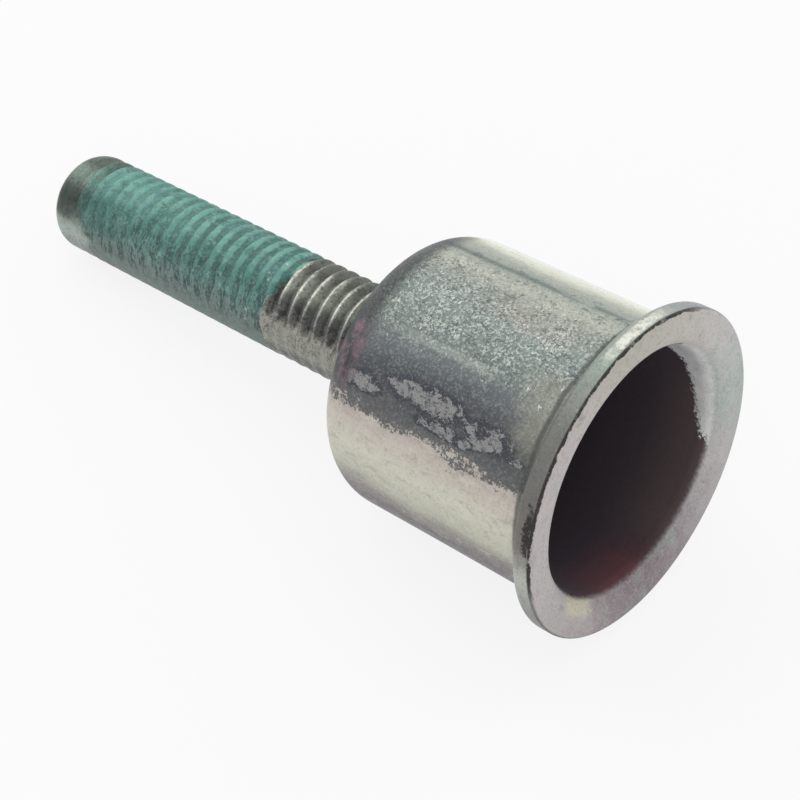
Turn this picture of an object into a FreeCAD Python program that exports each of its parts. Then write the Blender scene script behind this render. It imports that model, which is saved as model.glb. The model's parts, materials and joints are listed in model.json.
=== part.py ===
import FreeCAD, Part
import math
import os

# Sleeve screw: a socket-head screw held captive in a drawn sleeve with a flanged mouth.
# Millimetres. Each piece is a turned profile about the X axis, measured from the mouth's plane
# towards the tip. The pair is then laid down as it comes to rest, on the sleeve's shoulder and the
# thread's end: the flange hangs clear, because the middle of the weight lies beyond the shoulder.

# Sleeve
flange_diameter = 24.0
flange_thickness = 1.5
flange_front_bevel = 0.2          # the rim's edge on the mouth's side
flange_back_bevel = 0.45          # the rim's edge on the shoulder's side
flange_root_bevel = 0.4           # where the flange's back meets the body
sleeve_diameter = 20.6
sleeve_wall = 1.3
sleeve_length = 21.0              # from the mouth's plane to the outside of the closed end
end_thickness = 1.6
shoulder_radius = 3.4
mouth_rounding = 1.5

# Screw
thread_diameter = 8.0             # over the crests; the thread itself isn't cut
thread_pitch = 1.25
projection = 35.4                 # from the closed end to the tip
tip_taper_length = 1.6
tip_bevel = 0.4                   # the tip's own edge, past the taper
head_diameter = 13.0
head_height = 8.0
head_edge_bevel = 0.8
socket_width = 6.0                # across the flats of the hexagon
socket_depth = 4.0

# Clearances
running_clearance = 0.06          # radial, neck in hole
crest_clearance = 0.1             # the end face's inner edge outside the thread's crests
thread_start_gap = 0.3            # from the closed end to the thread's run-out

# Seams of the turned surfaces, in degrees round the axis from the side that faces up. They stay off
# the line that the pieces rest on.
seam_turn = 28.55

# Worked out from the sizes above
pitch_diameter_share = 0.6495     # of the pitch, from a metric thread's form
thread_depth_share = 0.6134
neck_radius = (thread_diameter - pitch_diameter_share * thread_pitch) / 2
thread_radius = thread_diameter / 2
thread_depth = thread_depth_share * thread_pitch
hole_radius = neck_radius + running_clearance
sleeve_radius = sleeve_diameter / 2
bore_radius = sleeve_radius - sleeve_wall
flange_radius = flange_diameter / 2
seat_x = sleeve_length - end_thickness
tip_x = sleeve_length + projection
taper_x = tip_x - tip_taper_length


class Profile:
    """A closed outline in the half-plane of X and radius, drawn point by point and then turned."""

    def __init__(self, x, radius):
        self.here = self.point(x, radius)
        self.edges = []

    def point(self, x, radius):
        return FreeCAD.Vector(x, 0, radius)

    def line(self, x, radius):
        there = self.point(x, radius)
        self.edges.append(Part.LineSegment(self.here, there).toShape())
        self.here = there

    def arc(self, x, radius, centre_x, centre_radius):
        """A quarter or less of a circle, from here to the given point."""
        there = self.point(x, radius)
        centre = self.point(centre_x, centre_radius)
        reach = (self.here - centre).Length
        middle = ((self.here + there) / 2 - centre).normalize() * reach + centre
        self.edges.append(Part.Arc(self.here, middle, there).toShape())
        self.here = there

    def turned(self):
        origin = FreeCAD.Vector(0, 0, 0)
        axis = FreeCAD.Vector(1, 0, 0)
        face = Part.Face(Part.Wire(self.edges))
        face.rotate(origin, axis, seam_turn)
        return face.revolve(origin, axis, 360)


def sleeve():
    inner_corner = shoulder_radius - sleeve_wall
    end_bevel = thread_radius + crest_clearance - hole_radius
    p = Profile(0, bore_radius + mouth_rounding)
    # flange, round the rim
    p.line(0, flange_radius - flange_front_bevel)
    p.line(flange_front_bevel, flange_radius)
    p.line(flange_thickness - flange_back_bevel, flange_radius)
    p.line(flange_thickness, flange_radius - flange_back_bevel)
    p.line(flange_thickness, sleeve_radius + flange_root_bevel)
    p.line(flange_thickness + flange_root_bevel, sleeve_radius)
    # body, shoulder and closed end
    p.line(sleeve_length - shoulder_radius, sleeve_radius)
    p.arc(sleeve_length, sleeve_radius - shoulder_radius,
          sleeve_length - shoulder_radius, sleeve_radius - shoulder_radius)
    # hole, bevelled outside so that the end face begins beyond the thread's crests
    p.line(sleeve_length, hole_radius + end_bevel)
    p.line(sleeve_length - end_bevel, hole_radius)
    p.line(seat_x, hole_radius)
    # inside, back to the mouth
    p.line(seat_x, bore_radius - inner_corner)
    p.line(seat_x - inner_corner, bore_radius)
    p.line(mouth_rounding, bore_radius)
    p.arc(0, bore_radius + mouth_rounding, mouth_rounding, bore_radius + mouth_rounding)
    return p.turned()


def screw_blank():
    head_radius = head_diameter / 2
    run_out_x = sleeve_length + thread_start_gap
    p = Profile(seat_x - head_height, 0)
    # head
    p.line(seat_x - head_height, head_radius - head_edge_bevel)
    p.line(seat_x - head_height + head_edge_bevel, head_radius)
    p.line(seat_x, head_radius)
    # neck, through the hole
    p.line(seat_x, neck_radius)
    p.line(run_out_x, neck_radius)
    # thread, to the tapered tip
    p.line(run_out_x + thread_depth, thread_radius)
    p.line(taper_x, thread_radius)
    p.line(tip_x - tip_bevel, thread_radius - thread_depth)
    p.line(tip_x, thread_radius - thread_depth - tip_bevel)
    p.line(tip_x, 0)
    p.line(seat_x - head_height, 0)
    return p.turned()


def drive_socket():
    """The six-sided space of the hexagon socket, with a plain flat floor."""
    top_x = seat_x - head_height
    corner_radius = socket_width / math.sqrt(3)
    corners = []
    for i in range(7):
        turn = math.radians(60 * i)
        corners.append(FreeCAD.Vector(top_x, corner_radius * math.cos(turn), corner_radius * math.sin(turn)))
    return Part.Face(Part.makePolygon(corners)).extrude(FreeCAD.Vector(socket_depth, 0, 0))


def screw():
    return screw_blank().cut(drive_socket()).removeSplitter()


def rest_tilt():
    """The angle between the axis and the floor when the shoulder and the thread's end both touch it."""
    run = taper_x - (sleeve_length - shoulder_radius)
    drop = sleeve_radius - shoulder_radius - thread_radius
    return math.degrees(math.atan2(drop, run) + math.asin(shoulder_radius / math.hypot(run, drop)))


def laid_down(pieces):
    """Turns the pieces so that the tip points to -X and rests on the floor, mouth to +X."""
    about = FreeCAD.Rotation(FreeCAD.Vector(0, 0, 1), 180)
    turn = FreeCAD.Rotation(FreeCAD.Vector(0, 1, 0), -rest_tilt()).multiply(about)
    for shape in pieces.values():
        shape.Placement = FreeCAD.Placement(FreeCAD.Vector(0, 0, 0), turn)
    box = Part.Compound(list(pieces.values())).optimalBoundingBox(False, False)
    shift = FreeCAD.Vector(-(box.XMin + box.XMax) / 2, 0, -box.ZMin)
    for shape in pieces.values():
        shape.Placement = FreeCAD.Placement(shift, turn)
    return shift, turn


pieces = {"sleeve": sleeve(), "screw": screw()}
shift, turn = laid_down(pieces)
os.makedirs("parts", exist_ok=True)
for name, shape in pieces.items():
    shape.exportStep("parts/" + name + ".step")
    print(name, "volume", round(shape.Volume, 2), "valid", shape.isValid(), "solids", len(shape.Solids))
print("axis tilted by", round(rest_tilt(), 3), "degrees, mouth centre at", shift)
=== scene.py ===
import bisect
import json
import math

import bmesh
import bpy
from mathutils import Matrix, Vector, noise


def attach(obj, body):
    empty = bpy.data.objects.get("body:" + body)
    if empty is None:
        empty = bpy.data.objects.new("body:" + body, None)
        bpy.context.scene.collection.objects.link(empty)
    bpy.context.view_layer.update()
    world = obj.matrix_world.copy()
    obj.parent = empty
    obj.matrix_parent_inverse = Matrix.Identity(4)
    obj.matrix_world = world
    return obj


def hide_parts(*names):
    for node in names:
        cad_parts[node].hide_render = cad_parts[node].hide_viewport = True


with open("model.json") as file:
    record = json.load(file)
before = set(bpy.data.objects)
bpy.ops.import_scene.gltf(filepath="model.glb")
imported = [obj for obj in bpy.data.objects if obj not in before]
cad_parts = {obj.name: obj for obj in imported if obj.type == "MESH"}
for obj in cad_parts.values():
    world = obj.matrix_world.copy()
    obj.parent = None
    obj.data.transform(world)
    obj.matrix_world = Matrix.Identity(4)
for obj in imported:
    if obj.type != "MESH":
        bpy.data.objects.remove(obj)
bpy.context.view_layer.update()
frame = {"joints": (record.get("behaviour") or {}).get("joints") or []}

mm = 0.001
print("frame loaded")

# where the pair lies: local X runs to the tip, local Z is the side that faces up
hinge = frame["joints"][0]
tipWay = Vector(hinge["axis"]).normalized()
upWay = Vector((tipWay.z, 0, -tipWay.x))
seatAlong = 19.4                                   # the hinge sits where the head bears, this far from the mouth
mouth = Vector(hinge["pos_m"]) - tipWay * seatAlong * mm
place = Matrix.Translation(mouth) @ Matrix((tipWay, upWay.cross(tipWay), upWay)).transposed().to_4x4()


def blendOf(a, b, share):
    return a + (b - a) * share


def smooth(low, high, value):
    share = min(max((value - low) / (high - low), 0.0), 1.0)
    return share * share * (3 - 2 * share)


def onCurve(points, x):
    # straight lines between given points (x, y)
    i = bisect.bisect_right([p[0] for p in points], x)
    if i == 0:
        return points[0][1]
    if i == len(points):
        return points[-1][1]
    (x0, y0), (x1, y1) = points[i - 1], points[i]
    return blendOf(y0, y1, (x - x0) / (x1 - x0))


def arc(centre, radius, fromDeg, toDeg, steps):
    spots = []
    for i in range(steps + 1):
        turn = math.radians(blendOf(fromDeg, toDeg, i / steps))
        spots.append((centre[0] + radius * math.cos(turn), centre[1] + radius * math.sin(turn)))
    return spots


def line(start, end, steps):
    # the places between two ends, without the ends themselves
    return [(blendOf(start[0], end[0], i / steps), blendOf(start[1], end[1], i / steps)) for i in range(1, steps)]


def spot(along, radius, turn):
    # turn 0 faces up, and grows towards +Y of the frame
    return Vector((along, -radius * math.sin(turn), radius * math.cos(turn))) * mm


def degreesRound(turn):
    return (math.degrees(turn) + 180) % 360 - 180


def toPiece(name, sheet, sharpDeg):
    bmesh.ops.remove_doubles(sheet, verts=sheet.verts, dist=2e-7)
    bmesh.ops.recalc_face_normals(sheet, faces=sheet.faces)
    mesh = bpy.data.meshes.new(name)
    sheet.to_mesh(mesh)
    sheet.free()
    mesh.transform(place)
    mesh.shade_smooth()
    mesh.set_sharp_from_angle(angle=math.radians(sharpDeg))
    piece = bpy.data.objects.new(name, mesh)
    bpy.context.scene.collection.objects.link(piece)
    return piece


def paint(red, green, blue):
    # a colour as it shows on screen, 0 to 255
    def linear(c):
        c = c / 255
        return c / 12.92 if c <= 0.04045 else ((c + 0.055) / 1.055) ** 2.4
    return (linear(red), linear(green), linear(blue), 1.0)


class Signal:
    # a node's output, which can be added, multiplied and so on like a number
    def __init__(self, wires, socket):
        self.wires = wires
        self.socket = socket

    def __add__(self, other):
        return self.wires.maths("ADD", self, other)

    def __radd__(self, other):
        return self.wires.maths("ADD", other, self)

    def __sub__(self, other):
        return self.wires.maths("SUBTRACT", self, other)

    def __rsub__(self, other):
        return self.wires.maths("SUBTRACT", other, self)

    def __mul__(self, other):
        return self.wires.maths("MULTIPLY", self, other)

    def __truediv__(self, other):
        return self.wires.maths("DIVIDE", self, other)

    def __rtruediv__(self, other):
        return self.wires.maths("DIVIDE", other, self)

    def __abs__(self):
        return self.wires.maths("ABSOLUTE", self)


class Wiring:
    # lays nodes in a tree, and links or sets their inputs
    def __init__(self, tree):
        self.tree = tree

    def node(self, kind, **settings):
        made = self.tree.nodes.new(kind)
        for key, value in settings.items():
            setattr(made, key, value)
        return made

    def feed(self, socket, value):
        if isinstance(value, Signal):
            self.tree.links.new(value.socket, socket)
        elif value is not None:
            socket.default_value = value

    def laid(self, made, output, **inputs):
        for key, value in inputs.items():
            self.feed(made.inputs[key], value)
        return Signal(self, made.outputs[output])

    def maths(self, operation, *values):
        made = self.node("ShaderNodeMath", operation=operation)
        for socket, value in zip(made.inputs, values):
            self.feed(socket, value)
        return Signal(self, made.outputs[0])

    def vectorMaths(self, operation, output, *values):
        made = self.node("ShaderNodeVectorMath", operation=operation)
        for socket, value in zip(made.inputs, values):
            self.feed(socket, value)
        return Signal(self, made.outputs[output])

    def most(self, first, *others):
        for other in others:
            first = self.maths("MAXIMUM", first, other)
        return first

    def rise(self, value, low, high, outLow=0.0, outHigh=1.0, kind="SMOOTHSTEP"):
        made = self.node("ShaderNodeMapRange", interpolation_type=kind, clamp=True)
        for socket, v in zip(made.inputs[:5], (value, low, high, outLow, outHigh)):
            self.feed(socket, v)
        return Signal(self, made.outputs[0])

    def band(self, value, low, high, soft):
        return self.group(bandGroup, Value=value, From=low, To=high, Softness=soft)["Mask"]

    def objectPlace(self):
        return Signal(self, self.node("ShaderNodeTexCoord").outputs["Object"])

    def attribute(self, name):
        return Signal(self, self.node("ShaderNodeAttribute", attribute_name=name).outputs["Fac"])

    def noise(self, vector, scale, detail=4.0, rough=0.55, warp=0.0, output="Fac"):
        made = self.node("ShaderNodeTexNoise")
        return self.laid(made, output, Vector=vector, Scale=scale, Detail=detail, Roughness=rough, Distortion=warp)

    def cells(self, vector, scale):
        # a chance value from 0 to 1 for each cell
        colours = self.laid(self.node("ShaderNodeTexVoronoi"), "Color", Vector=vector, Scale=scale)
        return self.laid(self.node("ShaderNodeSeparateColor"), "Red", Color=colours)

    def shaken(self, vector, scale, amount):
        # the same place, moved a little by chance, so that straight edges become torn
        chance = self.noise(vector, scale, 3.0, 0.5, output="Color")
        centred = self.vectorMaths("SUBTRACT", 0, chance, (0.5, 0.5, 0.5))
        return self.vectorMaths("MULTIPLY_ADD", 0, centred, (amount, amount, amount), vector)

    def stretch(self, vector, along, across):
        return self.laid(self.node("ShaderNodeMapping"), 0, Vector=vector, Scale=(along, across, across))

    def over(self, share, under, top):
        # a colour is a signal or its red, green and blue on screen
        made = self.node("ShaderNodeMix", data_type="RGBA")
        under, top = (paint(*c) if isinstance(c, tuple) else c for c in (under, top))
        return self.laid(made, "Result", Factor=share, A=under, B=top)

    def ramp(self, value, stops, low, high):
        # stops are (place, colour); places run from low to high
        made = self.node("ShaderNodeValToRGB")
        scale = made.color_ramp
        while len(scale.elements) > 1:
            scale.elements.remove(scale.elements[-1])
        scale.elements[0].position = (stops[0][0] - low) / (high - low)
        scale.elements[0].color = paint(*stops[0][1])
        for at, colour in stops[1:]:
            scale.elements.new((at - low) / (high - low)).color = paint(*colour)
        return self.laid(made, 0, Fac=self.rise(value, low, high, kind="LINEAR"))

    def curve(self, value, points):
        # straight lines between given points (x, y)
        total = points[0][1]
        for (x0, y0), (x1, y1) in zip(points, points[1:]):
            total = total + self.rise(value, x0, x1, 0.0, y1 - y0, kind="LINEAR")
        return total

    def group(self, tree, **inputs):
        made = self.node("ShaderNodeGroup", node_tree=tree)
        for key, value in inputs.items():
            self.feed(made.inputs[key], value)
        return {output.name: Signal(self, output) for output in made.outputs}

    def bump(self, height, strength, depth, normal=None):
        made = self.node("ShaderNodeBump")
        return self.laid(made, 0, Height=height, Strength=strength, Distance=depth, Normal=normal)


def newGroup(name, inputs, outputs):
    # inputs are names with a value, or None for a vector; outputs are names of values
    tree = bpy.data.node_groups.new(name, "ShaderNodeTree")
    for label, value in inputs.items():
        kind = "NodeSocketVector" if value is None else "NodeSocketFloat"
        socket = tree.interface.new_socket(name=label, in_out="INPUT", socket_type=kind)
        if value is not None:
            socket.default_value = value
    for label in outputs:
        tree.interface.new_socket(name=label, in_out="OUTPUT", socket_type="NodeSocketFloat")
    wires = Wiring(tree)
    given = {socket.name: Signal(wires, socket) for socket in wires.node("NodeGroupInput").outputs}
    return tree, wires, given, wires.node("NodeGroupOutput").inputs


def makePlaceGroup():
    # the place along the axis, across it and up from it, and how far round it and from it, in mm and degrees
    tree, w, _, out = newGroup("place on axis", {}, ["Along", "Across", "Up", "Around", "Radius"])
    fromMouth = w.vectorMaths("SUBTRACT", "Vector", w.objectPlace(), mouth)
    ways = (tipWay, tipWay.cross(upWay), upWay)
    x, y, z = (w.vectorMaths("DOT_PRODUCT", "Value", fromMouth, way / mm) for way in ways)
    w.feed(out["Along"], x)
    w.feed(out["Across"], y)
    w.feed(out["Up"], z)
    w.feed(out["Around"], w.maths("ARCTAN2", y, z) * (180 / math.pi))
    w.feed(out["Radius"], w.maths("SQRT", y * y + z * z))
    return tree


def makeBandGroup():
    inputs = {"Value": 0.0, "From": 0.0, "To": 1.0, "Softness": 0.1}
    tree, w, given, out = newGroup("soft band", inputs, ["Mask"])
    soft = given["Softness"]
    on = w.rise(given["Value"], given["From"] - soft, given["From"] + soft)
    off = w.rise(given["Value"], given["To"] - soft, given["To"] + soft)
    w.feed(out["Mask"], on * (1.0 - off))
    return tree


def makeSpeckleGroup():
    # the small bright and dark facets of zinc plating
    tree, w, given, out = newGroup("zinc speckle", {"Vector": None, "Size": 0.25}, ["Bright", "Dark", "Height"])
    dense = 1.0 / given["Size"]
    torn = w.shaken(given["Vector"], dense, 0.25)
    crystals = w.cells(torn, dense * 1.2)
    clouds = w.noise(given["Vector"], dense * 0.2, 4.0, 0.65) - 0.5
    pale = w.noise(torn, dense, 3.0, 0.75, 0.4)
    deep = w.noise(w.stretch(torn, -1.0, 0.9), dense * 1.1, 3.0, 0.75, 0.4)
    pale = pale * 0.8 + crystals * 0.2 + clouds * 0.3
    deep = deep - crystals * 0.1 + clouds * 0.35
    w.feed(out["Bright"], w.rise(pale, 0.49, 0.61))
    w.feed(out["Dark"], w.rise(deep, 0.46, 0.58))
    w.feed(out["Height"], pale - deep)
    return tree


def makeScratchGroup():
    # three sets of thin lines, each with its turn, its stretch along and across, and its shift
    tree, w, given, out = newGroup("fine scratches", {"Vector": None, "Amount": 0.5}, ["Mask"])
    sets = []
    for turn, along, across, shift in ((0.5, 0.35, 7.0, 0.0), (-0.9, 0.25, 9.0, 13.0), (1.4, 0.3, 8.0, 31.0)):
        turned = w.laid(w.node("ShaderNodeMapping"), 0, Vector=given["Vector"], Location=(shift, 0, 0),
                        Rotation=(turn * 0.6, turn, turn * 0.8))
        sets.append(w.rise(w.noise(w.stretch(turned, along, across), 1.0, 1.0, 0.4), 0.70, 0.78))
    w.feed(out["Mask"], w.most(*sets) * given["Amount"])
    return tree


def makePatchGroup():
    # patches with torn edges and holes, and the dark surround of each
    inputs = {"Vector": None, "Scale": 1.0, "Cover": 0.5}
    tree, w, given, out = newGroup("torn patches", inputs, ["Mask", "Outline"])
    torn = w.shaken(given["Vector"], 2.4, 0.5)
    level = w.noise(torn, given["Scale"], 8.0, 0.72, 0.2)
    lace = (w.noise(torn, 4.6, 4.0, 0.75) - 0.5) * 0.36
    gap = level - (1.0 - given["Cover"]) + lace
    broken = (w.noise(torn, 2.6, 4.0, 0.7) - 0.5) * 0.35
    holes = w.rise(w.noise(torn, 3.6, 5.0, 0.75), 0.56, 0.59)
    islands = w.rise(w.noise(w.stretch(torn, -1.0, 1.0), 3.2, 4.0, 0.75), 0.6, 0.625)
    surround = w.rise(gap + broken, -0.19, -0.05)
    patch = w.rise(gap, -0.012, 0.02) * (1.0 - holes * 0.8)
    patch = w.most(patch, surround * islands * 0.8)
    w.feed(out["Mask"], patch)
    w.feed(out["Outline"], surround * (1.0 - patch))
    return tree


def startMaterial(name):
    material = bpy.data.materials.new(name)
    material.use_nodes = True
    wires = Wiring(material.node_tree)
    return material, wires, material.node_tree.nodes["Principled BSDF"].inputs


def placeOnAxis(w):
    at = w.group(placeGroup)
    where = w.laid(w.node("ShaderNodeCombineXYZ"), 0, X=at["Along"], Y=at["Across"], Z=at["Up"])
    return at["Along"], at["Around"], at["Radius"], where


def brushes(w, look, usual):
    # tint lays a named paint over a colour, and zone is the mask of a named stretch
    def tint(under, name, mask):
        colour, share = look["paints"][name]
        return w.over(mask * share, under, colour)

    def zone(name, value=usual):
        return w.band(value, *look["zones"][name])

    return tint, zone


bandGroup = makeBandGroup()
placeGroup = makePlaceGroup()
speckleGroup = makeSpeckleGroup()
scratchGroup = makeScratchGroup()
patchGroup = makePatchGroup()
print("groups made")

# the drawn sleeve, turned from its wall's outline, in mm
sleeveSettings = {
    "flangeRadius": 12.0,
    "flangeThickness": 1.5,
    "frontRounding": 0.22,
    "backRounding": 0.45,
    "rootRounding": 0.45,
    "bodyRadius": 10.3,
    "wall": 1.3,
    "length": 21.0,
    "endThickness": 1.6,
    "shoulderRadius": 3.4,
    "mouthRounding": 1.5,
    "holeRadius": 3.654,
    "holeBevel": 0.446,
    "columns": 288,                                # how many faces lie round the axis
    "rimWander": 0.035,                            # how far the rim strays from a true circle
    "rimFrom": (10.4, 11.6),                       # the radius where that starts, and where it is full
    "rimUntil": (1.6, 3.0),                        # and how far along it fades
    "bodyWander": 0.015,                           # the same for all that lies outside the next radius
    "bodyFrom": 9.3,
    "sharp": 32,                                   # edges that turn by more degrees stay hard

    # its finish, with painted light in its colours round the axis; angles are degrees round the axis, 0 faces up
    # and -38 the front
    "metal": 0.5,
    "rough": 0.44,
    # the body's colour round the axis holds painted light: a painted highlight, near white from 31 to 40, and a
    # painted dark reflection in the band near -50
    "body": [(-180, (128, 132, 126)), (-122, (112, 110, 112)), (-70, (112, 110, 110)), (-62, (96, 96, 97)),
             (-50, (70, 72, 77)), (-42, (78, 82, 86)), (-34, (98, 105, 107)), (-24, (110, 121, 116)),
             (-10, (130, 141, 136)), (1, (146, 154, 147)), (8, (186, 189, 175)), (12, (176, 180, 168)),
             (16, (156, 166, 158)), (20, (160, 168, 160)), (25, (183, 187, 174)), (31, (222, 225, 209)),
             (40, (246, 248, 239)), (66, (150, 155, 149)), (120, (128, 134, 128)), (180, (128, 132, 126))],
    # the low side's colour: a painted reflection of the pale floor
    "below": [(-122, (110, 108, 110)), (-109, (104, 98, 102)), (-100, (150, 146, 140)), (-93, (194, 195, 180)),
              (-80, (210, 208, 193)), (-72, (202, 195, 185)), (-64, (188, 179, 171))],
    "face": [(-180, (138, 125, 130)), (-158, (148, 136, 141)), (-138, (176, 168, 168)), (-100, (190, 184, 184)),
             (-60, (196, 186, 188)), (-35, (196, 188, 186)), (-5, (187, 184, 174)), (30, (198, 192, 186)),
             (60, (200, 198, 196)), (90, (182, 190, 186)), (120, (188, 182, 182)), (148, (164, 156, 160)),
             (165, (144, 133, 139)), (180, (138, 125, 130))],
    # the rim's colour round the axis: painted light, lighter towards the top and darker on the front
    "rim": [(-180, (150, 150, 145)), (-110, (132, 135, 130)), (-88, (186, 189, 180)), (-76, (120, 114, 108)),
            (-60, (112, 110, 106)), (-38, (116, 116, 111)), (-26, (128, 134, 127)), (-14, (146, 156, 147)),
            (4, (164, 172, 162)), (14, (170, 175, 167)), (30, (154, 157, 158)), (180, (150, 150, 145))],
    "litReach": [(36, 0.0), (48, 3.2), (66, 3.7), (72, 2.8), (80, 2.5), (90, 2.25), (101, 1.95),
                 (110, 1.4), (118, 0.3)],          # how deep the bore's wall is lit, by angle
    "stepAt": -64.5,                               # the film's torn edge, with a painted reflection of the pale floor below it
    "farAway": -122,                               # where that painted reflection ends
    "blotches": [(6.0, -51, 1.9, 5.0), (11.2, -48, 3.2, 5.0), (9.2, -56.5, 2.4, 2.4), (16.7, -53, 1.5, 3.8),
                 (3.6, -54, 0.7, 1.4)],            # middle along and round the axis, and half its reach each way
    "glowAt": 14.0,                                # the reddish glow lies opposite this angle
    "speckleSize": 0.18,
    "blotchGrey": (146, 146, 145),
    # painted shade deep in the bore, and painted light on the lit part of its wall
    "boreDark": (62, 53, 62),
    "boreLit": (238, 238, 238),

    # colours on screen, each with how strongly it covers
    "paints": {
        "olive": ((152, 151, 137), 0.6),
        "warm": ((172, 162, 153), 0.4),
        "brightFleck": ((214, 218, 208), 0.6),
        "darkFleck": ((78, 86, 86), 0.68),
        "glint": ((236, 240, 232), 0.8),
        "darkLine": ((96, 108, 102), 0.7),
        "paleLine": ((214, 218, 208), 0.15),
        "cloud": ((58, 60, 68), 0.5),
        "blotchEdge": ((58, 60, 68), 1.0),
        "blotchGrain": ((58, 60, 68), 0.5),
        "belowDark": ((160, 152, 148), 0.42),
        "belowPale": ((214, 212, 198), 0.5),
        "belowGrain": ((78, 86, 86), 0.15),
        # painted shade where the shoulder turns away
        "shoulder": ((51, 57, 59), 0.8),
        "pink": ((176, 138, 150), 1.0),
        "creaseShade": ((74, 79, 74), 0.8),             # painted shade in the bend where the flange leaves the body
        "rimLight": ((240, 240, 229), 1.0),
        "rimGrain": ((78, 86, 86), 0.3),
        "faceGreen": ((166, 178, 168), 0.45),
        "faceDark": ((132, 126, 126), 0.4),
        "faceCream": ((206, 200, 178), 0.75),
        "faceDots": ((78, 86, 86), 0.4),
        "faceGrain": ((78, 86, 86), 0.14),
        "faceShine": ((214, 218, 208), 0.14),
        "edgeShade": ((92, 87, 90), 0.6),
        "dirt": ((34, 31, 30), 0.95),
        # the dark line at the face's edge, and the grime on the rim
        "boreBrown": ((84, 70, 70), 1.0),
        "boreGlow": ((101, 61, 65), 0.85),
        "litGreen": ((166, 178, 168), 0.3),
        "litGrain": ((78, 86, 86), 0.2),
        "scratch": ((214, 218, 208), 0.4),
    },

    # where each of them lies: from, to and softness, in degrees round the axis or in mm along it
    "zones": {
        "upperFront": (-27, 12, 10.0),
        "glinting": (-34, 14, 6.0),
        "scarred": (-26, 22, 7.0),
        "olive": (-50, -20, 7.0),
        "warm": (-9, 3, 3.0),
        "warmAlong": (5.0, 11.0, 1.5),
        "darkLine": (15.5, 18.5, 1.3),
        "paleLine": (-31, -27.5, 0.8),
        "paleLineAlong": (8.0, 16.0, 2.0),
        "shoulder": (-60, 30, 6.0),
        "pink": (-57, -33, 8.0),
        "pinkAlong": (17.8, 20.0, 0.7),
        "creaseShade": (-100, 36, 8.0),
        "creaseShadeAlong": (2.3, 2.7, 0.14),
        "rimLight": (-9, 17, 6.0),
        "rimLightAlong": (0.3, 1.0, 0.12),
        "cream": (-142, -122, 3.0),
        "darkEdge": (-96, 34, 10.0),
        "grime": (-77, -63, 2.0),
        "grimeAlong": (0.1, 0.66, 0.1),
        "farEdge": (11.88, 12.1, 0.04),            # this one in mm from the axis
        "brown": (84, 165, 14.0),
    },
}


def sleeveOutline(form):
    rim, thick = form["flangeRadius"], form["flangeThickness"]
    front, back, root = form["frontRounding"], form["backRounding"], form["rootRounding"]
    body, length, shoulder = form["bodyRadius"], form["length"], form["shoulderRadius"]
    bore = body - form["wall"]
    lip, corner = form["mouthRounding"], shoulder - form["wall"]
    hole, bevel, seat = form["holeRadius"], form["holeBevel"], length - form["endThickness"]
    path = arc((lip, bore + lip), lip, -90, -180, 14)
    path += line((0, bore + lip), (0, rim - front), 6)
    path += arc((front, rim - front), front, 180, 90, 6)
    path += arc((thick - back, rim - back), back, 90, 0, 8)
    path += arc((thick + root, body + root), root, 180, 270, 8)
    path += line((thick + root, body), (length - shoulder, body), 24)
    path += arc((length - shoulder, body - shoulder), shoulder, 90, 0, 22)
    path += [(length, hole + bevel), (length - bevel, hole), (seat, hole)]
    path += arc((seat - corner, bore - corner), corner, 0, 90, 10)
    path += line((seat - corner, bore), (lip, bore), 12)
    return path


def makeSleeve(form):
    sheet = bmesh.new()
    columns = form["columns"]
    rings = []
    for along, radius in sleeveOutline(form):
        onRim = smooth(*form["rimFrom"], radius) * (1 - smooth(*form["rimUntil"], along))
        onBody = 1 if radius > form["bodyFrom"] else 0
        ring = []
        for j in range(columns):
            turn = 2 * math.pi * j / columns
            slow = noise.noise(Vector((math.cos(turn), math.sin(turn), 0.4)) * 1.7)
            sway = noise.noise(Vector((math.cos(turn) * 2, math.sin(turn) * 2, along * 0.12)))
            r = radius + onRim * form["rimWander"] * slow + onBody * form["bodyWander"] * sway
            ring.append(sheet.verts.new(spot(along, r, turn)))
        rings.append(ring)
    for i, ring in enumerate(rings):
        after = rings[(i + 1) % len(rings)]
        for j in range(columns):
            k = (j + 1) % columns
            sheet.faces.new((ring[j], ring[k], after[k], after[j]))
    return toPiece("drawn_sleeve", sheet, form["sharp"])


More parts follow.
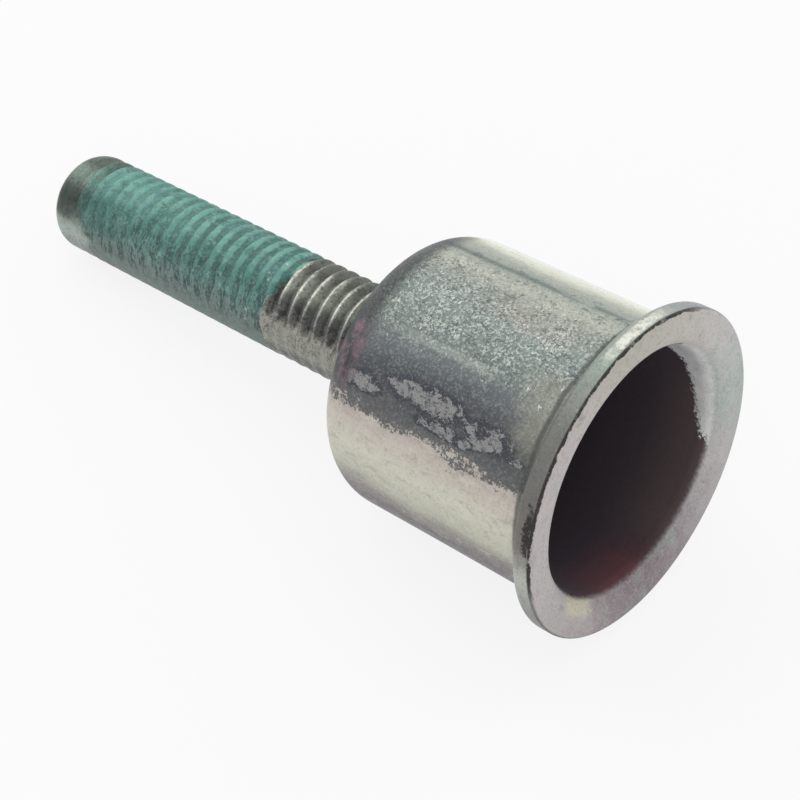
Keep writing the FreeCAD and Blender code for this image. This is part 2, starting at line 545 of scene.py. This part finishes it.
def makeSleeveMaterial(look):
    material, w, skin = startMaterial("plated sleeve")
    along, around, radius, where = placeOnAxis(w)
    slow = w.noise(w.stretch(where, 0.35, 1.0), 0.55, 3.0) - 0.5
    fine = w.noise(where, 3.2, 4.0, 0.65) - 0.5
    ragged = fine * 0.5
    swayed = around + slow * 9.0 + fine * 8.0
    speckle = w.group(speckleGroup, Vector=where, Size=look["speckleSize"])
    tint, zone = brushes(w, look, swayed)

    # speckle, strongest on the upper front
    # the body's colour round the axis, with its painted highlight and painted dark band
    colour = w.ramp(swayed, look["body"], -180, 180)
    nearRim = w.rise(along + slow * 5.0, 6.0, 2.6) * zone("olive")
    colour = tint(colour, "olive", nearRim)
    farSide = w.most(w.rise(swayed, 34, 70), w.rise(swayed, -104, -124))
    strong = zone("upperFront") * (0.74 - nearRim * 0.5)
    strong = strong * w.rise(w.noise(where, 0.4, 3.0), 0.36, 0.62, 0.65, 1.25)
    strong = w.rise(swayed, -60, -30, 0.14, 0.26) - farSide * 0.14 + strong
    colour = tint(colour, "warm", zone("warmAlong", along) * zone("warm"))
    colour = tint(colour, "brightFleck", speckle["Bright"] * strong)
    colour = tint(colour, "darkFleck", speckle["Dark"] * strong)
    glints = w.rise(w.noise(w.stretch(where, 2.2, 1.0), 2.6, 2.0), 0.68, 0.72)
    colour = tint(colour, "glint", glints * zone("glinting"))
    broken = w.rise(w.noise(w.stretch(where, 0.5, 1.0), 0.8, 3.0), 0.36, 0.56)
    colour = tint(colour, "darkLine", zone("darkLine", around + slow * 3.0) * broken)
    colour = tint(colour, "paleLine", zone("paleLine", around) * zone("paleLineAlong", along + fine * 9.0))

    # pale blotches with dark surrounds in the dark band along the front
    spots = []
    for middle, turn, reach, turnReach in look["blotches"]:
        dx = (along - middle) / reach
        dy = (around - turn) / turnReach
        spots.append(w.rise(dx * dx + dy * dy, 2.2, 0.1))
    spread = w.most(*spots)
    blotch = w.group(patchGroup, Vector=w.stretch(where, 0.8, 1.0), Scale=1.25, Cover=0.28 + spread * 0.27)
    onBlotch = w.rise(spread, 0.02, 0.25)
    colour = tint(colour, "cloud", w.rise(spread - 0.4 + fine * 1.6, -0.05, 0.3))
    scars = w.most(onBlotch * 0.85, zone("scarred") * 0.6)
    colour = tint(colour, "blotchEdge", blotch["Outline"] * scars)
    mottled = tint(look["blotchGrey"], "blotchGrain", speckle["Dark"])
    colour = w.over(blotch["Mask"] * onBlotch * 0.92, colour, mottled)

    # the low side below the film's torn edge, painted pale as a reflection of the floor
    step, end = look["stepAt"], look["farAway"]
    tear = slow * 17.0 + fine * 14.0 + (w.noise(where, 5.5, 4.0, 0.75) - 0.5) * 14.0
    below = w.rise(around + tear, step + 0.5, step - 0.5) * w.rise(around, end, end + 10)
    pale = w.ramp(swayed, look["below"], end, -64)
    streaks = w.noise(w.stretch(where, 0.7, 1.3), 1.1, 5.0, 0.68, 0.6)
    pale = tint(pale, "belowDark", w.rise(streaks, 0.5, 0.68))
    pale = tint(pale, "belowPale", w.rise(streaks, 0.46, 0.3))
    pale = tint(pale, "belowGrain", speckle["Dark"])
    colour = w.over(below, colour, pale)

    # the shoulder's painted shade where it turns away, and the pinkish tint where it meets the dark band
    colour = tint(colour, "shoulder", w.rise(along, 17.0, 18.5) * zone("shoulder"))
    clumps = w.rise(w.noise(w.stretch(where, 1.0, 0.6), 1.1, 5.0, 0.7), 0.4, 0.68, 0.0, 0.6)
    colour = tint(colour, "pink", zone("pinkAlong", along) * zone("pink") * clumps)

    # the flange's rim
    # painted shade on the body behind the flange
    colour = tint(colour, "creaseShade", zone("creaseShadeAlong", along + slow * 0.3) * zone("creaseShade"))
    onFlange = w.rise(radius, 10.5, 10.9) * w.rise(along, 2.6, 1.9)
    # painted light on the rim, lighter towards the top
    colour = w.over(onFlange, colour, w.ramp(swayed, look["rim"], -180, 180))
    glossy = w.rise(w.noise(w.stretch(where, 1.0, 0.8), 1.6, 4.0, 0.7), 0.34, 0.56, 0.25, 0.85)
    colour = tint(colour, "rimLight", zone("rimLightAlong", along + ragged * 1.2) * zone("rimLight") * glossy)
    colour = tint(colour, "rimGrain", speckle["Dark"] * onFlange)

    # its front face, with the mouth's rounding
    onFace = w.rise(along + ragged, 0.55, 0.3) * w.rise(radius, 11.98, 11.86)
    onFace = w.most(onFace, w.rise(radius, 10.6, 10.3) * w.rise(along, 1.9, 1.3))
    cloudy = w.noise(where, 0.75, 4.0, 0.6)
    face = w.ramp(around + slow * 40.0, look["face"], -180, 180)
    face = tint(face, "faceGreen", w.rise(cloudy, 0.48, 0.7))
    face = tint(face, "faceDark", w.rise(cloudy, 0.46, 0.26))
    face = tint(face, "faceCream", zone("cream", around + fine * 20.0) * w.rise(radius, 10.7, 10.0))
    face = tint(face, "faceDots", w.rise(w.noise(where, 3.4, 2.0, 0.6), 0.67, 0.72))
    face = tint(face, "faceGrain", speckle["Dark"])
    face = tint(face, "faceShine", speckle["Bright"])
    colour = w.over(onFace, colour, face)

    # the dark line at the face's edge, and the grime on the rim
    uneven = ragged * 0.6 + (w.noise(where, 0.9, 3.0) - 0.42) * 0.5
    edge = w.rise(radius + uneven, 11.84, 11.9) * w.rise(along, 0.22, 0.12) * zone("darkEdge")
    edge = edge * w.rise(slow + fine * 0.6, -0.2, -0.02, 0.6, 1.0)
    grime = zone("grime", swayed + ragged * 16.0) * zone("grimeAlong", along + ragged * 2.4)
    grime = grime * w.rise(w.noise(where, 1.8, 4.0, 0.7), 0.3, 0.38) * w.rise(radius, 11.7, 11.85)
    away = zone("farEdge", radius) * w.rise(along, 0.26, 0.1) * w.rise(abs(around), 70, 105)
    darkened = w.most(edge, grime)
    colour = tint(colour, "edgeShade", away)
    colour = tint(colour, "dirt", darkened)

    # the bore: painted shade with a ragged start, a painted lit part of its wall and a reddish glow
    inside = w.rise(radius + ragged * 0.5, 9.42, 9.12) * w.rise(along, 19.9, 19.7)
    torn = along + ragged * 3.0
    lit = w.rise(w.curve(around + ragged * 16.0, look["litReach"]) - torn, -0.15, 0.25)
    dark = inside * (1.0 - lit)
    fromGlow = 180.0 - abs(around - look["glowAt"])
    bore = tint(look["boreDark"], "boreBrown", zone("brown", around) * w.rise(along, 6.5, 1.5))
    bore = tint(bore, "boreGlow", w.rise(fromGlow + ragged * 20.0, 36.0, 2.0) * w.rise(torn, 5.4, 0.8))
    litWall = tint(look["boreLit"], "litGreen", w.rise(cloudy, 0.4, 0.64))
    litWall = tint(litWall, "litGrain", speckle["Dark"])
    colour = w.over(inside, colour, w.over(lit, bore, litWall))

    scratch = w.group(scratchGroup, Vector=where, Amount=0.5)["Mask"]
    colour = tint(colour, "scratch", scratch * (1.0 - dark))
    w.feed(skin["Base Color"], colour)
    dull = w.most(dark, darkened)
    w.feed(skin["Metallic"], look["metal"] - w.most(dull, inside * lit) * look["metal"])
    w.feed(skin["Roughness"], look["rough"] + speckle["Dark"] * 0.14 + dull * 0.35 + onFace * 0.14)
    fineBump = w.bump(speckle["Height"], 0.35, 0.05 * mm)
    w.feed(skin["Normal"], w.bump(w.noise(where, 0.8, 3.0), 0.2, 0.12 * mm, fineBump))
    return material


# the screw: head and socket inside the sleeve, rolled thread outside, in mm
screwSettings = {
    "headTop": 11.4,
    "headRadius": 6.5,
    "headBevel": 0.8,
    "socketWidth": 6.0,
    "socketDepth": 4.0,
    "socketPoint": 0.7,                            # the drilled cone below the socket
    "socketBevel": (0.35, 0.15),                   # depth and width of the socket's worn edge
    "neckRadius": 3.594,
    "crestRadius": 4.0,
    "pitch": 1.25,
    "threadDepth": 0.767,
    "flank": (0.0625, 0.375),                      # from crest to groove, in shares of the pitch
    "rounded": 0.35,                               # how much of the ridge's form is rounded
    "threadFrom": 21.3,
    "threadFull": 22.6,
    "taperFrom": 54.8,
    "taperDrop": (1.17, 2.3),                      # how far the crests drop at the tip, and how late
    "taperSlope": 0.06,
    "lastTurns": (-2.4, 0.2),                      # the grooves fill up here, counted from the taper
    "tipAlong": 56.4,
    "tipRadius": 2.77,
    "crestAlong": 24.463,                          # one crest passes here on the side that faces up
    "rows": [0, 0.045, 0.075, 0.14, 0.22, 0.30, 0.365, 0.43, 0.5, 0.57, 0.635, 0.70, 0.78, 0.86, 0.925, 0.955],
    "columns": 144,
    "fillRadius": 3.84,                            # the dried coating fills the grooves to here
    "lowFill": 3.985,                              # and to here along its worn low side
    "coatSkin": 0.03,
    "lowAlong": (22.4, 23.4),                      # where the worn low side starts
    "sharp": 50,                                   # edges that turn by more degrees stay hard

    # where the coating starts and ends along the thread, by degrees round the axis
    "coatStart": [(-180, 31.3), (-96, 31.5), (-76, 32.1), (-62, 31.8), (-45, 31.7), (-36, 31.3), (-30, 31.5),
                  (-12, 31.1), (-4, 30.6), (12, 30.9), (30, 31.2), (90, 31.6), (180, 31.3)],
    "coatEnd": [(-180, 53.1), (-104, 52.4), (-88, 51.8), (-78, 52.6), (-62, 53.1), (-30, 53.0), (-8, 53.3),
                (18, 52.8), (60, 53.2), (180, 53.1)],

    # its finish, with painted light in its colours round the axis: bare thread, tip and dried coating
    "metal": 0.6,
    "rough": 0.38,
    # the bare thread's colour round the axis holds a painted highlight from -24 to -8, and a painted reflection of
    # the floor on its pale low side
    "thread": [(-180, (112, 112, 108)), (-104, (112, 112, 106)), (-94, (152, 153, 144)), (-66, (152, 151, 143)),
               (-60, (142, 141, 137)), (-46, (136, 138, 135)), (-38, (130, 133, 128)), (-24, (182, 187, 177)),
               (-8, (174, 177, 168)), (10, (122, 124, 117)), (40, (116, 118, 112)), (180, (112, 112, 108))],
    # the tip's colour round the axis holds a painted highlight near -6 and a painted reflection of the floor on
    # its low side near -90
    "tip": [(-180, (110, 116, 110)), (-110, (128, 136, 132)), (-90, (166, 176, 168)), (-76, (152, 164, 154)),
            (-66, (86, 95, 88)), (-46, (58, 65, 60)), (-34, (74, 84, 78)), (-20, (118, 134, 124)),
            (-6, (126, 142, 130)), (8, (90, 100, 92)), (40, (92, 108, 98)), (180, (110, 116, 110))],
    # the film's colour round the axis: painted light, lighter near the top and darker towards the front
    "coat": [(-180, (112, 128, 122)), (-100, (110, 126, 122)), (-72, (102, 126, 122)), (-54, (82, 121, 115)),
             (-38, (77, 131, 122)), (-20, (106, 161, 150)), (-4, (122, 178, 165)), (14, (107, 170, 158)),
             (34, (95, 150, 140)), (110, (112, 150, 142)), (180, (112, 128, 122))],
    "speckleSize": 0.2,
    "endsGrey": (112, 117, 111),                   # the tip's flat and the socket's floor

    # colours on screen, each with how strongly it covers
    "paints": {
        "grain": ((46, 45, 44), 0.5),
        "groove": ((46, 45, 44), 1.0),
        "tipGrain": ((46, 45, 44), 0.3),
        # painted highlight on the thread's crests
        "ridge": ((226, 226, 214), 1.0),
        "stain": ((44, 48, 50), 0.58),
        # painted shade in the film's grooves
        "coatGrooveShade": ((46, 92, 84), 1.0),
        "coatMottle": ((46, 92, 84), 0.62),
        "coatNearTip": ((46, 92, 84), 0.45),
        "coatBlue": ((98, 146, 150), 0.4),
        "coatPale": ((143, 184, 173), 0.55),
        "coatShine": ((143, 184, 173), 0.16),
        # a painted reflection of the floor on the film's low side
        "coatGrey": ((112, 122, 118), 0.7),
        "coatPit": ((34, 62, 58), 0.8),
        "coatDots": ((34, 62, 58), 0.4),
        "coatGrain": ((34, 62, 58), 0.22),
        "lifted": ((226, 226, 214), 0.7),
        "chip": ((226, 226, 214), 0.85),
    },

    # where each of them lies: from, to and softness, in degrees round the axis or in mm along it
    "zones": {
        "pale": (-104, -60, 4.0),
        "ridge": (-39, 12, 9.0),
        "stain": (-67, -44, 4.0),
        "drips": (-88, -56, 6.0),
        "pits": (-92, -34, 12.0),
        "nearTip": (-74, -28, 8.0),
        "lifted": (-72, -40, 5.0),
        "liftedAlong": (29.5, 33.0, 0.5),
        "chipAlong": (30.6, 33.6, 0.4),
        "halfCoated": (0.25, 0.75, 0.12),          # this one in shares of the coating
    },
}


def coatAt(form, along, turn):
    # 1 under the coating and 0 on bare metal, with a firm start and a faded end
    around = degreesRound(turn)
    ripple = 0.22 * noise.noise(Vector((along * 1.4, math.cos(turn) * 5, math.sin(turn) * 5)))
    begun = smooth(-0.14, 0.14, along - onCurve(form["coatStart"], around) + ripple)
    return begun * smooth(-1.2, 1.8, onCurve(form["coatEnd"], around) - along + ripple * 3)


def lowSide(turn, along, coat):
    # the side that lay on the surface, where film and dirt leave little of the thread
    around = degreesRound(turn) + 9 * noise.noise(Vector((along * 0.6, turn * 2, 3.0)))
    return smooth(-150, -134, around) * (1 - smooth(-74, blendOf(-58, -24, coat), around))


def ridge(form, u):
    # 1 on the crest and 0 in the groove, for the place u across one turn: a metric form with softened edges
    crest, groove = form["flank"]
    height = (groove - min(u % 1, 1 - u % 1)) / (groove - crest)
    return blendOf(min(max(height, 0.0), 1.0), smooth(-0.22, 1.22, height), form["rounded"])


def threadRadius(form, along, height, coat, low):
    crest, depth, skin = form["crestRadius"], form["threadDepth"], form["coatSkin"]
    r = crest - depth + depth * height
    fill = blendOf(form["fillRadius"], form["lowFill"], low)
    filled = fill + (crest - fill) * smooth(-0.3, 1.2, height) + skin * 0.6
    r = blendOf(r, max(r, filled), coat)
    r = blendOf(r, max(r, filled - skin), low * smooth(*form["lowAlong"], along) * 0.95)
    r = blendOf(form["neckRadius"], r, smooth(form["threadFrom"], form["threadFull"], along))
    taper = form["taperFrom"]
    share = max((along - taper) / (form["tipAlong"] - taper), 0.0)
    drop, power = form["taperDrop"]
    limit = crest - drop * share ** power - form["taperSlope"] * share
    if share > 0:
        r = min(r, limit)
    start, end = form["lastTurns"]
    return blendOf(r, limit, smooth(taper + start, taper + end, along) * 0.97)


def makeScrew(form):
    sheet = bmesh.new()
    coatLayer = sheet.verts.layers.float.new("coat")
    grooveLayer = sheet.verts.layers.float.new("groove")
    columns = form["columns"]
    turns = [2 * math.pi * j / columns for j in range(columns)]
    flat = form["socketWidth"] / 2

    def hexagon(turn):
        off = (math.degrees(turn) + 30) % 60 - 30
        return flat / math.cos(math.radians(off))

    def ring(along, radius):
        return [sheet.verts.new(spot(along, radius(t) if callable(radius) else radius, t)) for t in turns]

    def join(a, b):
        for j in range(columns):
            k = (j + 1) % columns
            sheet.faces.new((a[j], a[k], b[k], b[j]))

    def cap(a, along):
        middle = sheet.verts.new(spot(along, 0, 0))
        for j in range(columns):
            sheet.faces.new((a[j], a[(j + 1) % columns], middle))

    top, head, bevel = form["headTop"], form["headRadius"], form["headBevel"]
    edgeDepth, edgeWidth = form["socketBevel"]
    rings = [ring(top + form["socketDepth"], hexagon)]
    cap(rings[0], top + form["socketDepth"] + form["socketPoint"])
    rings.append(ring(top + edgeDepth, hexagon))
    rings.append(ring(top, hexagon(math.radians(30)) + edgeWidth))
    rings += [ring(a, r) for a, r in arc((top + bevel, head - bevel), bevel, 180, 90, 5)]
    rings += [ring(seatAlong, head), ring(seatAlong, form["neckRadius"])]
    for a, b in zip(rings, rings[1:]):
        join(a, b)

    # the thread's rows follow its helix, so that each ridge keeps a clean edge
    pitch, first, last = form["pitch"], form["threadFrom"], form["tipAlong"]
    base = form["crestAlong"] - math.ceil((form["crestAlong"] - first) / pitch + 1) * pitch
    count = math.ceil((last - base) / pitch) + 1
    grid = []
    for n in range(count):
        for u in form["rows"]:
            row = []
            for t in turns:
                along = base + (n + u) * pitch + pitch * t / (2 * math.pi)
                along = min(max(along, first), last)
                coat = coatAt(form, along, t)
                sway = 0.05 * noise.noise(Vector((along * 0.5, math.cos(t) * 2, math.sin(t) * 2)))
                height = ridge(form, u + sway)
                r = threadRadius(form, along, height, coat, lowSide(t, along, coat))
                vert = sheet.verts.new(spot(along, r, t))
                vert[coatLayer] = coat
                vert[grooveLayer] = 1 - height
                row.append(vert)
            grid.append(row)
    step = len(form["rows"])
    for i in range(len(grid) - step - 1):
        for j in range(columns):
            if j + 1 < columns:
                corners = (grid[i][j], grid[i][j + 1], grid[i + 1][j + 1], grid[i + 1][j])
            else:
                corners = (grid[i][j], grid[i + step][0], grid[i + step + 1][0], grid[i + 1][j])
            places = [c.co.x for c in corners]
            if max(places) - min(places) > 1e-8:
                sheet.faces.new(corners)
    join(rings[-1], ring(first, form["neckRadius"]))
    rim = ring(last, form["tipRadius"])
    inner = ring(last, form["tipRadius"] * 0.55)
    join(rim, inner)
    cap(inner, last - 0.05)
    loose = [v for v in sheet.verts if not v.link_faces]
    bmesh.ops.delete(sheet, geom=loose, context="VERTS")
    return toPiece("threaded_screw", sheet, form["sharp"])


def makeScrewMaterial(look):
    material, w, skin = startMaterial("coated thread")
    along, around, radius, where = placeOnAxis(w)
    slow = w.noise(where, 0.5, 3.0) - 0.5
    fine = w.noise(where, 3.6, 5.0, 0.68) - 0.5
    both = slow + fine
    swayed = around + slow * 16.0 + fine * 16.0
    groove, coat = w.attribute("groove"), w.attribute("coat")
    speckle = w.group(speckleGroup, Vector=where, Size=look["speckleSize"])
    tint, zone = brushes(w, look, swayed)

    # bare metal: dark grooves, broken painted highlights on the ridges, stains along the front
    # the bare thread's colour round the axis, with its painted highlight and painted floor reflection
    metal = w.ramp(swayed, look["thread"], -180, 180)
    metal = tint(metal, "grain", speckle["Dark"])
    shallow = w.most(zone("pale"), w.rise(swayed, -10, 8))
    metal = tint(metal, "groove", w.rise(groove + fine * 0.6, 0.45, 0.95) * (0.52 - shallow * 0.36))
    # painted highlights on the crests, broken by noise
    crest = w.rise(groove + both * 1.1, 0.2, 0.0) * zone("ridge")
    metal = tint(metal, "ridge", crest * w.rise(w.noise(where, 1.6, 4.0, 0.7), 0.36, 0.6, 0.25, 0.85))
    drips = w.rise(w.noise(w.stretch(where, 2.2, 0.5), 1.5, 5.0, 0.7), 0.6, 0.66) * zone("drips", around)
    stain = w.rise(w.noise(where, 1.3, 6.0, 0.72), 0.49, 0.54) * zone("stain")
    metal = tint(metal, "stain", w.most(stain, drips))
    # the tip's colour round the axis, with its painted highlight and painted floor reflection
    tip = tint(w.ramp(swayed, look["tip"], -180, 180), "tipGrain", speckle["Dark"])
    metal = w.over(w.rise(along, 50.0, 51.4), metal, tip)
    metal = w.over(w.rise(radius, 3.2, 1.2), metal, tint(look["endsGrey"], "tipGrain", speckle["Dark"]))

    # the dried coating: painted shade in the grooves, mottled, and a painted grey reflection of the floor with
    # dark pits along its low side
    atEnd = w.rise(along, 49.0, 51.5)
    coat = coat + fine * (1.3 - atEnd * 0.5)
    coat = w.rise(coat, 0.4 - atEnd * 0.38, 0.6 + atEnd * 0.4)
    # the film's colour round the axis, painted lighter near the top and darker towards the front
    film = w.ramp(swayed, look["coat"], -180, 180)
    lowEnd = w.rise(around + both * 30.0, -58, -84)
    worn = w.rise(around + both * 40.0, -24, -56)
    # painted shade in the grooves, weaker towards the tip and the low side
    inGroove = w.rise(groove + slow * 0.9 + fine * 0.5, 0.25, 0.85) * (0.85 - lowEnd * 0.75)
    inGroove = inGroove * w.rise(along, 37.0, 50.0, 1.0, 0.5)
    film = tint(film, "coatGrooveShade", inGroove * (1.0 - worn * 0.7))
    mottle = w.noise(w.shaken(where, 1.3, 0.6), 0.75, 5.0, 0.62)
    film = tint(film, "coatMottle", w.rise(mottle, 0.5, 0.66))
    film = tint(film, "coatBlue", w.rise(slow, 0.03, 0.2))
    film = tint(film, "coatPale", w.rise(w.noise(where, 1.3, 5.0, 0.7), 0.5, 0.68))
    # painted reflection of the floor along the low side
    film = tint(film, "coatGrey", lowEnd)
    pitted = w.noise(w.stretch(w.shaken(where, 2.5, 0.3), 2.3, 0.8), 1.7, 5.0, 0.7) + groove * 0.08
    film = tint(film, "coatPit", w.rise(pitted, 0.55, 0.58) * zone("pits", around))
    film = tint(film, "coatDots", w.rise(w.noise(where, 2.2, 5.0, 0.75), 0.54, 0.7))
    film = tint(film, "coatNearTip", w.rise(along, 45.0, 50.0) * zone("nearTip"))
    film = tint(film, "coatShine", speckle["Bright"])
    film = tint(film, "coatGrain", speckle["Dark"])
    colour = w.over(coat, metal, film)

    # bright chips where the coating begins
    colour = tint(colour, "lifted", zone("halfCoated", coat) * zone("liftedAlong", along) * zone("lifted"))
    chips = w.rise(w.noise(where, 1.3, 4.0, 0.7), 0.64, 0.69)
    colour = tint(colour, "chip", zone("chipAlong", along) * chips)

    w.feed(skin["Base Color"], colour)
    w.feed(skin["Metallic"], (1.0 - coat) * look["metal"])
    w.feed(skin["Roughness"], look["rough"] + coat * 0.22 + speckle["Dark"] * 0.15)
    softBump = w.bump(w.noise(where, 1.5, 4.0, 0.6), 0.5, 0.12 * mm)
    w.feed(skin["Normal"], w.bump(speckle["Height"], 0.3, 0.05 * mm, softBump))
    return material


sleeve = makeSleeve(sleeveSettings)
screw = makeScrew(screwSettings)
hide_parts("sleeve")
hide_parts("screw")
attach(sleeve, "sleeve")
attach(screw, "screw")
print("meshes made:", len(sleeve.data.polygons), "and", len(screw.data.polygons), "faces")
sleeve.data.materials.append(makeSleeveMaterial(sleeveSettings))
screw.data.materials.append(makeScrewMaterial(screwSettings))
print("materials made")

# pale floor, white surroundings and soft lamps, in metres
stageLook = {
    "floorSize": 1.5,
    "floorShade": 0.86,
    "glowShare": 0.84,                             # how much of the white floor isn't dimmed by the shadow
    "whiteFrom": 0.045,                            # how far from the middle the floor starts to turn plain white
    "whiteAt": 0.16,
    "ambient": 0.72,
    "lookAt": (0, 0, 0.01),
    "lamps": [("key", (-0.20, -0.02, 0.30), 0.34, 0.26),
              ("fill", (0.20, -0.22, 0.26), 0.30, 0.12),
              ("back", (0.04, 0.30, 0.20), 0.30, 0.12)],   # name, place, size and power
}


def seenRays(w):
    # 1 for what the camera sees, also in metal or through glass, and 0 for light on its way to the object
    rays = w.node("ShaderNodeLightPath").outputs
    return w.most(*(Signal(w, rays[kind]) for kind in ("Is Camera Ray", "Is Glossy Ray", "Is Transmission Ray")))


def makeWorld(look):
    world = bpy.data.worlds.new("studio")
    world.use_nodes = True
    w = Wiring(world.node_tree)
    sky = world.node_tree.nodes["Background"]
    sky.inputs["Color"].default_value = (1, 1, 1, 1)
    w.feed(sky.inputs["Strength"], look["ambient"] + seenRays(w) * (1 - look["ambient"]))
    bpy.context.scene.world = world


def makeFloor(look):
    sheet = bmesh.new()
    bmesh.ops.create_grid(sheet, x_segments=8, y_segments=8, size=look["floorSize"])
    mesh = bpy.data.meshes.new("floor")
    sheet.to_mesh(mesh)
    sheet.free()
    floor = bpy.data.objects.new("floor", mesh)
    bpy.context.scene.collection.objects.link(floor)
    material, w, skin = startMaterial("pale floor")
    skin["Base Color"].default_value = (look["floorShade"],) * 3 + (1,)
    skin["Roughness"].default_value = 0.9
    skin["Specular IOR Level"].default_value = 0.0
    glow = w.node("ShaderNodeEmission")
    glow.inputs["Color"].default_value = (1, 1, 1, 1)
    mix = w.node("ShaderNodeMixShader")
    distance = w.vectorMaths("LENGTH", "Value", w.objectPlace())
    share = w.rise(distance, look["whiteFrom"], look["whiteAt"], look["glowShare"], 1.0)
    w.feed(mix.inputs[0], seenRays(w) * share)
    tree = material.node_tree
    tree.links.new(tree.nodes["Principled BSDF"].outputs[0], mix.inputs[1])
    tree.links.new(glow.outputs[0], mix.inputs[2])
    tree.links.new(mix.outputs[0], tree.nodes["Material Output"].inputs["Surface"])
    mesh.materials.append(material)


def aim(thing, target):
    way = (Vector(target) - thing.location).normalized()
    thing.rotation_euler = way.to_track_quat("-Z", "Y").to_euler()


def makeLamps(look):
    for name, where, size, power in look["lamps"]:
        lamp = bpy.data.lights.new(name, "AREA")
        lamp.shape = "DISK"
        lamp.size = size
        lamp.energy = power
        thing = bpy.data.objects.new(name, lamp)
        thing.location = where
        bpy.context.scene.collection.objects.link(thing)
        aim(thing, look["lookAt"])


# the photo's viewpoint: its place in mm, the picture's right and down, and the lens
view = {
    "from": (65.894, -71.033, 111.325),
    "right": (0.75186, 0.65913, 0.01601),
    "down": (0.50489, -0.55996, -0.65691),
    "lens": 85.636,
    "sensor": 36,
}


def makeCamera(look):
    camera = bpy.data.cameras.new("camera")
    camera.lens = look["lens"]
    camera.sensor_width = look["sensor"]
    camera.clip_start = 0.005
    camera.clip_end = 10
    thing = bpy.data.objects.new("camera", camera)
    right, upward = Vector(look["right"]), -Vector(look["down"])
    turn = Matrix((right, upward, right.cross(upward))).transposed().to_4x4()
    thing.matrix_world = Matrix.Translation(Vector(look["from"]) * mm) @ turn
    bpy.context.scene.collection.objects.link(thing)
    bpy.context.scene.camera = thing


makeWorld(stageLook)
makeFloor(stageLook)
makeLamps(stageLook)
makeCamera(view)
bpy.context.scene.view_settings.view_transform = "Standard"
print("stage, lamps and camera set")
